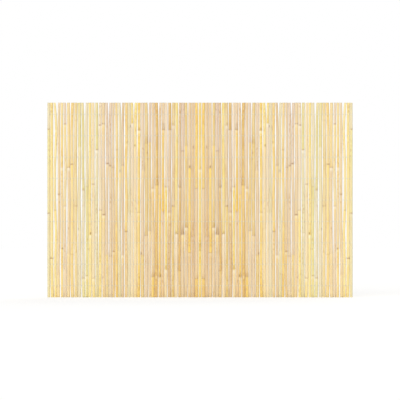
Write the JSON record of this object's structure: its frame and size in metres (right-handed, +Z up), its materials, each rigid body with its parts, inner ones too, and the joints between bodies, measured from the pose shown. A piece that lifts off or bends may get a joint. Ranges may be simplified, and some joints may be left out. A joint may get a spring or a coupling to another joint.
{
  "type": "cane slat fence",
  "caption": "Low upright fence of thin tapered bamboo canes standing side by side, bound into a screen by rows of galvanised wire, to be tied to posts or a railing.",
  "frame": {"origin": "on the ground under the middle of the fence, midway through its thickness", "axes": "+Z up, +X along the fence, -Y out of the front face, where every cane lies against its wires"},
  "size_m": [1.5694, 0.0192, 1],
  "materials": {
    "bamboo_straw": "satin, pale straw bamboo skin",
    "bamboo_gold": "satin to glossy, golden bamboo skin",
    "bamboo_olive": "satin, greenish bamboo skin",
    "bamboo_amber": "satin, brown-stained bamboo skin",
    "bamboo_blush": "matt, pinkish beige sheath left on the bamboo",
    "galvanised_wire": "dull zinc"
  },
  "bodies": {
    "root": {"cane_middle": "bamboo_straw", "cane_pair_01": "bamboo_gold", "cane_pair_02": "bamboo_amber", "cane_pair_03": "bamboo_gold", "cane_pair_04": "bamboo_blush", "cane_pair_05": "bamboo_blush", "cane_pair_06": "bamboo_amber", "cane_pair_07": "bamboo_straw", "cane_pair_08": "bamboo_blush", "cane_pair_09": "bamboo_amber", "cane_pair_10": "bamboo_straw", "cane_pair_11": "bamboo_gold", "cane_pair_12": "bamboo_gold", "cane_pair_13": "bamboo_amber", "cane_pair_14": "bamboo_gold", "cane_pair_15": "bamboo_blush", "cane_pair_16": "bamboo_blush", "cane_pair_17": "bamboo_blush", "cane_pair_18": "bamboo_gold", "cane_pair_19": "bamboo_straw", "cane_pair_20": "bamboo_straw", "cane_pair_21": "bamboo_olive", "cane_pair_22": "bamboo_gold", "cane_pair_23": "bamboo_amber", "cane_pair_24": "bamboo_olive", "cane_pair_25": "bamboo_gold", "cane_pair_26": "bamboo_amber", "cane_pair_27": "bamboo_blush", "cane_pair_28": "bamboo_blush", "cane_pair_29": "bamboo_gold", "cane_pair_30": "bamboo_straw", "cane_pair_31": "bamboo_olive", "cane_pair_32": "bamboo_straw", "cane_pair_33": "bamboo_straw", "cane_pair_34": "bamboo_olive", "cane_pair_35": "bamboo_olive", "cane_pair_36": "bamboo_olive", "cane_pair_37": "bamboo_blush", "cane_pair_38": "bamboo_gold", "cane_pair_39": "bamboo_gold", "cane_pair_40": "bamboo_blush", "cane_pair_41": "bamboo_gold", "cane_pair_42": "bamboo_gold", "cane_pair_43": "bamboo_straw", "cane_pair_44": "bamboo_straw", "cane_pair_45": "bamboo_olive", "binding_wire_1": "galvanised_wire", "binding_wire_2": "galvanised_wire", "binding_wire_3": "galvanised_wire", "binding_wire_4": "galvanised_wire", "binding_wire_5": "galvanised_wire", "binding_wire_6": "galvanised_wire", "binding_wire_7": "galvanised_wire", "binding_wire_8": "galvanised_wire", "binding_wire_9": "galvanised_wire"}
  },
  "joints": []
}
